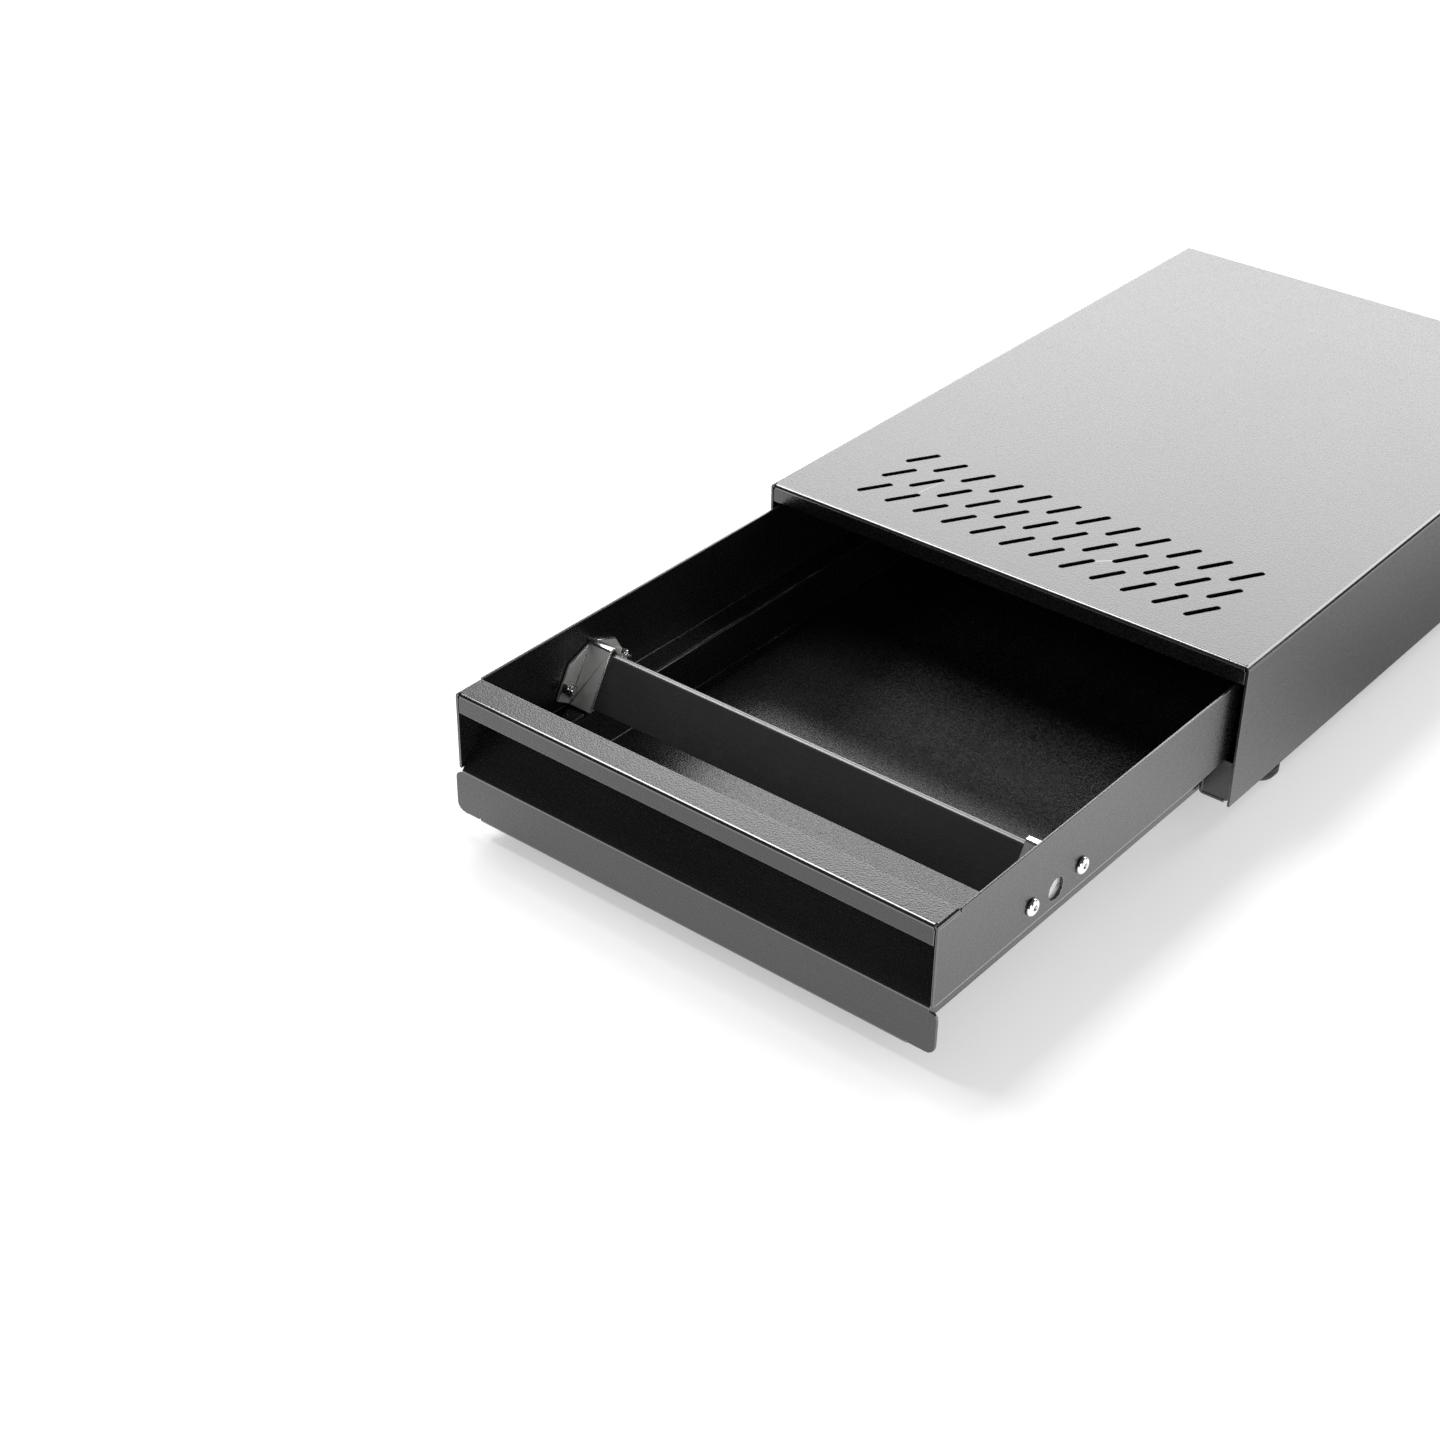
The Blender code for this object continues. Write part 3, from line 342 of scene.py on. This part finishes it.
def eased(node, materials, ease=EDGE_EASE, steps=EDGE_STEPS, reshape=None):
    """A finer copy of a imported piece, shown in its place: its edges are eased.

    The eased edges and the narrow strips of the bends take the last material.
    """
    source = frame["nodes"][node]
    bm = bmesh.new()
    bm.from_mesh(source.data)
    bmesh.ops.remove_doubles(bm, verts=bm.verts, dist=SMALLEST_EDGE)
    bmesh.ops.dissolve_limit(bm, angle_limit=FLAT_ANGLE, verts=bm.verts, edges=bm.edges)
    if reshape:
        reshape(bm)
    for face in bm.faces:
        longest = max(edge.calc_length() for edge in face.edges)
        strip = face.calc_area() / longest < BEND_STRIP
        face.material_index = len(materials) - 1 if strip else 0
    mesh = bpy.data.meshes.new(f"{node}_finished")
    bm.to_mesh(mesh)
    bm.free()
    mesh.shade_smooth()
    for material in materials:
        mesh.materials.append(material)
    piece = bpy.data.objects.new(f"{node}_finished", mesh)
    bpy.context.scene.collection.objects.link(piece)
    bevel = piece.modifiers.new("eased_edges", "BEVEL")
    bevel.width = ease
    bevel.segments = steps
    bevel.limit_method = "ANGLE"
    bevel.angle_limit = EDGE_ANGLE
    bevel.use_clamp_overlap = False
    bevel.material = len(materials) - 1
    flat = piece.modifiers.new("flat_faces", "WEIGHTED_NORMAL")
    flat.weight = FLAT_WEIGHT
    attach(piece, source["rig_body"])
    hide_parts(node)


coat = powder_coat("powder_coat")
coat_edge = powder_coat(
    "powder_coat_edge", EDGE_BLACK, EDGE_BLACK, EDGE_ROUGHNESS, EDGE_IOR, EDGE_GRAIN_HEIGHT
)
eased("case_shell", (coat, coat_edge))

# Back panel, guide rails and travel stop: folded from the same sheet and coated like it. The rails
# carry the drawer's ledges, so their coat is streaked along the slide.
RAIL_ROUGHNESS = 0.34
RAIL_STREAKS = 0.5

eased("back_panel", (coat, coat_edge))
eased("travel_stop", (coat, coat_edge))
rail_coat = powder_coat("rail_coat", roughness=RAIL_ROUGHNESS, streaks=RAIL_STREAKS)
for side in ("left", "right"):
    eased(f"rail_{side}", (rail_coat, coat_edge))

# Drawer: the stepped body, the lower front panel with its finger recess and the back wall, all folded
# sheet under the same powder coat. The walls' top edges are rounded, so that they don't cut.
WALL_EASE = 0.00045
WALL_STEPS = 3

eased("drawer_body", (coat, coat_edge), WALL_EASE, WALL_STEPS)
for node in ("front_panel", "drawer_back"):
    eased(node, (coat, coat_edge))

# Feet and buffers: moulded black rubber, matt, with a fine grain from the mould. The feet are screwed
# under the rails and the buffers are glued to the back panel.
RUBBER_BLACK = (0.016, 0.016, 0.016, 1)
RUBBER_GREY = (0.035, 0.034, 0.033, 1)
RUBBER_BUMP = 0.5
DUST_SIZE = 0.012
DUST_EDGE = (0.50, 0.80)
DUST_SHARE, SKIN_SHARE = 0.6, 0.5
DUST_GLOSS, SKIN_GLOSS = 0.10, 0.12
FOOT_ROUGHNESS = 0.58
FOOT_SIDES = 64
FOOT_TOP = 9.2
# Radius and height, in millimetres: up the bore, over the top and down the outside to the tread.
FOOT_PROFILE = (
    (5.5, 0.0), (5.5, 4.6), (2.9, 5.0), (2.9, FOOT_TOP), (6.3, FOOT_TOP), (6.5, 9.0), (6.5, 7.5),
    (11.0, 7.4), (11.3, 7.25), (11.45, 7.0), (11.5, 6.7), (11.5, 5.4), (11.3, 5.25), (11.3, 4.95),
    (11.5, 4.8), (11.5, 3.4), (11.4, 2.8), (9.9, 0.5), (9.7, 0.15), (9.4, 0.0), (8.6, 0.0),
    (8.4, 0.3), (7.6, 0.3), (7.4, 0.0),
)
SHARP_ANGLE = math.radians(32)
MM = 0.001


def rubber(name, black, grey, roughness, grain=0.0005, stretch=(1, 1, 1), height=0.00005, ior=1.5):
    """Black rubber: dull, finely grained, a little greyer where dust has settled."""
    material, board = bare(name)
    skin = board.noise(grain, stretch=stretch)
    dust = board.step(board.noise(DUST_SIZE, detail=5.0, roughness=0.7), *DUST_EDGE)
    colour = board.mix(dust * DUST_SHARE + (skin - NOISE_MIDDLE) * SKIN_SHARE, black, grey)
    bump = board.node(
        "ShaderNodeBump", {}, {"Strength": RUBBER_BUMP, "Distance": height, "Height": skin}
    )
    gloss = roughness + dust * DUST_GLOSS + (skin - NOISE_MIDDLE) * SKIN_GLOSS
    shader = board.node(
        "ShaderNodeBsdfPrincipled",
        {},
        {"Base Color": colour, "Roughness": gloss, "Normal": bump, "IOR": ior},
    )
    board.node("ShaderNodeOutputMaterial", {}, {"Surface": shader})
    return material


def turned(name, rings, sides, closed=True):
    """A turned mesh from rings (radius, height, half width across flats or 0), in millimetres.

    A ring with a width across flats is cut off by that hexagon.
    """
    bm = bmesh.new()
    loops = []
    for ring in rings:
        radius, height, flats = (*ring, 0)[:3]
        loop = []
        for step in range(sides):
            angle = 2 * math.pi * step / sides
            reach = radius
            if flats:
                corner = (angle + math.pi / 6) % (math.pi / 3) - math.pi / 6
                reach = min(radius, flats / math.cos(corner))
            point = Vector((reach * math.cos(angle), reach * math.sin(angle), height))
            loop.append(bm.verts.new(point * MM))
        loops.append(loop)
    pairs = list(zip(loops, loops[1:]))
    if closed:
        pairs.append((loops[-1], loops[0]))
    for low, high in pairs:
        for step in range(sides):
            after = (step + 1) % sides
            bm.faces.new((low[step], low[after], high[after], high[step]))
    if not closed:
        bm.faces.new(loops[0][::-1])
        bm.faces.new(loops[-1])
    bmesh.ops.recalc_face_normals(bm, faces=bm.faces)
    mesh = bpy.data.meshes.new(name)
    bm.to_mesh(mesh)
    bm.free()
    mesh.shade_smooth()
    mesh.set_sharp_from_angle(angle=SHARP_ANGLE)
    return mesh


def stand_for(node, mesh, material, outward, top=0.0):
    """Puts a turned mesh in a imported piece's place, with its top at the piece's outward end."""
    low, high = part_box(node)
    middle, half = (low + high) / 2, (high - low) / 2
    outward = Vector(outward)
    reach = abs(outward.dot(half))
    piece = bpy.data.objects.new(f"{node}_finished", mesh)
    bpy.context.scene.collection.objects.link(piece)
    if not mesh.materials:
        mesh.materials.append(material)
    place = middle + outward * (reach - top * MM)
    turn = outward.to_track_quat("Z", "X").to_matrix().to_4x4()
    piece.matrix_world = Matrix.Translation(place) @ turn
    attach(piece, frame["nodes"][node]["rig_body"])
    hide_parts(node)


foot_rubber = rubber("foot_rubber", RUBBER_BLACK, RUBBER_GREY, FOOT_ROUGHNESS)
foot = turned("foot", FOOT_PROFILE, FOOT_SIDES)
CORNERS = [(end, side) for end in ("front", "rear") for side in ("left", "right")]
for end, side in CORNERS:
    stand_for(f"foot_{end}_{side}", foot, foot_rubber, (0, 0, 1), FOOT_TOP)
for side in ("left", "right"):
    eased(f"back_bumper_{side}", (foot_rubber,))

# Zinc-plated screws and nuts under the rails and through the back panel: button heads with a hexagon
# socket, and lock nuts with a round collar.
SCREW_SIDES = 60
SHANK_RADIUS = 2.5
SHANK_CHAMFER = 0.4
HEAD_RADIUS = 4.5
HEAD_HEIGHT = 2.1
HEAD_FLAT = 2.5
HEAD_EDGE = 0.12
DOME_DROP = 1.8
DOME_STEPS = 8
# Radius and height, and half the width across the flats where it is a hexagon, in millimetres.
SOCKET_RINGS = (
    (0.3, -1.5), (1.35, -1.3), (9, -1.3, 1.5), (9, -0.12, 1.5), (9, 0.0, 1.62), (2.2, 0.0),
    (HEAD_FLAT, -0.01),
)
PIP_RADIUS = 0.3
THREAD_PITCH = 0.8
THREAD_LENGTH = 5.2
THREAD_RUN_OUT = 0.6
THREAD_ROOT = 2.08
# One turn of thread: the radius, and how far below the turn's start.
THREAD_TURN = ((SHANK_RADIUS, 0.0), (SHANK_RADIUS, 0.1), (THREAD_ROOT, 0.4), (THREAD_ROOT, 0.5))
ZINC_PALE = (0.60, 0.61, 0.63, 1)
ZINC_DARK = (0.42, 0.43, 0.44, 1)
ZINC_ROUGHNESS, ZINC_SPREAD = 0.34, 0.25
MARK_SIZE = 0.0012
MARK_HEIGHT = 0.000004
MARK_BUMP = 0.5
METAL_CLOUD = 0.004
MARK_SHARE, CLOUD_SHARE = 0.5, 0.5
METAL_SHADE_EDGE = (0.35, 0.65)
CLOUD_SPREAD = 0.5


def metal(name, pale, dark, roughness, spread, turning=(1, 1, 8), metallic=1.0):
    """Bare or plated metal: fine tool marks and faint clouds."""
    material, board = bare(name)
    marks = board.noise(MARK_SIZE, detail=4.0, stretch=turning, roughness=0.6)
    clouds = board.noise(METAL_CLOUD, detail=3.0)
    shade = board.step(marks * MARK_SHARE + clouds * CLOUD_SHARE, *METAL_SHADE_EDGE)
    colour = board.mix(shade, dark, pale)
    bump = board.node(
        "ShaderNodeBump", {}, {"Strength": MARK_BUMP, "Distance": MARK_HEIGHT, "Height": marks}
    )
    gloss = roughness + (marks - NOISE_MIDDLE) * spread
    gloss = gloss + (clouds - NOISE_MIDDLE) * spread * CLOUD_SPREAD
    shader = board.node(
        "ShaderNodeBsdfPrincipled",
        {},
        {"Base Color": colour, "Roughness": gloss, "Metallic": metallic, "Normal": bump},
    )
    board.node("ShaderNodeOutputMaterial", {}, {"Surface": shader})
    return material


def screw(name, length):
    """An M5 button-head screw, its head's top on the origin: socket, dome, shank and thread."""
    rings = list(SOCKET_RINGS)
    for step in range(1, DOME_STEPS + 1):
        angle = math.pi / 2 * step / DOME_STEPS
        radius = HEAD_FLAT + (HEAD_RADIUS - HEAD_FLAT) * math.sin(angle)
        rings.append((radius, -DOME_DROP * (1 - math.cos(angle))))
    rings += [(HEAD_RADIUS, HEAD_EDGE - HEAD_HEIGHT), (HEAD_RADIUS - HEAD_EDGE, -HEAD_HEIGHT)]
    rings += [(SHANK_RADIUS, -HEAD_HEIGHT), (SHANK_RADIUS, THREAD_LENGTH - length)]
    turns = int((THREAD_LENGTH - THREAD_RUN_OUT) / THREAD_PITCH)
    for turn in range(turns):
        start = THREAD_LENGTH - length - turn * THREAD_PITCH
        rings += [(radius, start - drop) for radius, drop in THREAD_TURN]
    rings += [(SHANK_RADIUS, THREAD_LENGTH - length - turns * THREAD_PITCH)]
    rings += [(SHANK_RADIUS, SHANK_CHAMFER - length), (SHANK_RADIUS - SHANK_CHAMFER, -length)]
    rings += [(PIP_RADIUS, -length)]
    return turned(name, rings, SCREW_SIDES, closed=False)


# The nut's rings, written like the socket's: the round collar, then the hexagon.
NUT_RINGS = (
    (2.55, -0.6), (2.75, -0.25), (2.95, 0.0), (3.15, -0.02), (3.4, -0.2), (3.5, -0.5), (3.5, -1.15),
    (3.6, -1.2), (4.0, -1.2, 4.0), (4.62, -1.6, 4.0), (4.62, -4.3, 4.0), (4.1, -4.6, 4.0), (2.8, -4.6),
)
nut = turned("lock_nut", NUT_RINGS, SCREW_SIDES)
zinc_nut = nut.copy()
zinc = metal("zinc_plate", ZINC_PALE, ZINC_DARK, ZINC_ROUGHNESS, ZINC_SPREAD)
low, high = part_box("foot_screw_front_left")
foot_screw = screw("foot_screw", (high.z - low.z) / MM)
low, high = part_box("back_screw_left")
back_screw = screw("back_screw", (high.y - low.y) / MM)
for end, side in CORNERS:
    stand_for(f"foot_screw_{end}_{side}", foot_screw, zinc, (0, 0, -1))
    stand_for(f"foot_nut_{end}_{side}", zinc_nut, zinc, (0, 0, 1))
for side in ("left", "right"):
    stand_for(f"back_screw_{side}", back_screw, zinc, (0, 1, 0))

# Knock bar: a folded steel core in an extruded rubber sleeve. The rubber is satin, with faint lines
# along it from the die.
BAR_BLACK = (0.040, 0.040, 0.040, 1)
BAR_GREY = (0.054, 0.054, 0.053, 1)
BAR_ROUGHNESS = 0.27
BAR_IOR = 1.75
BAR_GRAIN = 0.0009
BAR_GRAIN_HEIGHT = 0.000003
DIE_LINES = (0.02, 1, 1)
BAR_EASE = 0.0004
BAR_STEPS = 3

bar_rubber = rubber(
    "bar_rubber", BAR_BLACK, BAR_GREY, BAR_ROUGHNESS, BAR_GRAIN, DIE_LINES, BAR_GRAIN_HEIGHT, BAR_IOR
)
eased("bar_sleeve", (bar_rubber,), BAR_EASE, BAR_STEPS)
eased("bar_core", (zinc,))

# Brackets: stainless saddles folded over the ends of the bar and screwed to the walls. Smooth satin
# sheet with bright cut edges; the ears are turned out from the legs over a small round fold.
STAINLESS_PALE = (0.72, 0.715, 0.705, 1)
STAINLESS_DARK = (0.60, 0.60, 0.59, 1)
STAINLESS_GLEAM = 0.36
STAINLESS_ROUGHNESS, STAINLESS_SPREAD = 0.24, 0.10
STAINLESS_GRAIN = (4, 0.5, 4)
POLISHED_PALE = (0.85, 0.845, 0.835, 1)
POLISHED_ROUGHNESS, POLISHED_SPREAD = 0.20, 0.05
BRACKET_EASE = 0.0004
FOLD_RADIUS = 0.0010
FOLD_STEPS = 4
LONG_FOLD = 0.010
EAR_FACES_SIDE = 0.9
LEG_FACES_UP = 0.3


def round_folds(bm):
    """Rounds the inner corner between each leg and its ear, as the fold in the sheet leaves it."""
    folds = []
    for edge in bm.edges:
        if edge.is_manifold and not edge.is_convex and edge.calc_length() > LONG_FOLD:
            normals = [face.normal for face in edge.link_faces]
            ear = [normal for normal in normals if abs(normal.x) > EAR_FACES_SIDE]
            leg = [normal for normal in normals if normal.z > LEG_FACES_UP]
            if len(ear) == 1 and len(leg) == 1:
                folds.append(edge)
    bmesh.ops.bevel(
        bm,
        geom=folds,
        offset=FOLD_RADIUS,
        segments=FOLD_STEPS,
        profile=0.5,
        affect="EDGES",
        clamp_overlap=True,
    )


stainless = metal(
    "satin_stainless",
    STAINLESS_PALE,
    STAINLESS_DARK,
    STAINLESS_ROUGHNESS,
    STAINLESS_SPREAD,
    STAINLESS_GRAIN,
    STAINLESS_GLEAM,
)
polished = metal(
    "polished_stainless", POLISHED_PALE, STAINLESS_PALE, POLISHED_ROUGHNESS, POLISHED_SPREAD
)
for side in ("left", "right"):
    eased(f"bracket_{side}", (stainless, polished), BRACKET_EASE, reshape=round_folds)

# Bracket fasteners: bright stainless M5 button-head screws, put in from outside through the drawer's
# walls, and lock nuts that hold the brackets' ears against the walls.
BRIGHT_PALE = (0.80, 0.79, 0.78, 1)
BRIGHT_ROUGHNESS, BRIGHT_SPREAD = 0.13, 0.06

bright = metal("bright_stainless", BRIGHT_PALE, STAINLESS_PALE, BRIGHT_ROUGHNESS, BRIGHT_SPREAD)
low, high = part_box("bracket_screw_front_left")
bracket_screw = screw("bracket_screw", (high.x - low.x) / MM)
for side, sign in (("left", -1), ("right", 1)):
    for end in ("front", "rear"):
        stand_for(f"bracket_screw_{end}_{side}", bracket_screw, bright, (sign, 0, 0))
        stand_for(f"bracket_nut_{end}_{side}", nut, bright, (-sign, 0, 0))

size = {"cad": cad_box, "visual": [list(corner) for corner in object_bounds()]}
